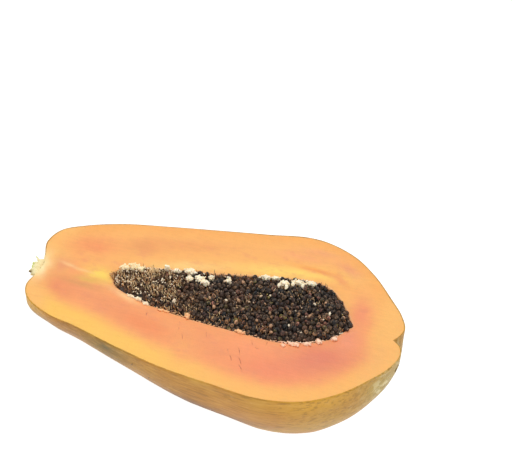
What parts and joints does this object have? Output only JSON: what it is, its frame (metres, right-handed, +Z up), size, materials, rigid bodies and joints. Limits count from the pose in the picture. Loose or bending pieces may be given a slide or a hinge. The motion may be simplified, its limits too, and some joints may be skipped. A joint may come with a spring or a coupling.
{
  "type": "papaya half",
  "caption": "Lengthwise half of a ripe papaya with its seeds in the open cavity, lying on its skin with the cut face up.",
  "frame": {"origin": "middle of the small flat spot that the half rests on, straight under its centre of mass", "axes": "+Z up, +X towards the blossom end along the fruit, +Y to the side of the cavity's bulging rim"},
  "size_m": [0.3063, 0.1823, 0.1179],
  "materials": {
    "flesh": "moist salmon-orange flesh that turns yellow towards the skin, satin",
    "skin": "thin waxy yellow skin with green patches, fine streaks and specks, soft sheen",
    "seeds": "wet wrinkled black-brown seeds in clear jelly coats, glossy",
    "placenta": "pale cream curdled tissue, moist",
    "stalk": "cut green stalk with torn cream fibres, dull"
  },
  "bodies": {
    "root": {"papaya_half": "flesh", "seed_heap": "seeds", "placenta_far": "placenta", "placenta_near": "placenta", "stalk_stub": "stalk"}
  },
  "joints": []
}
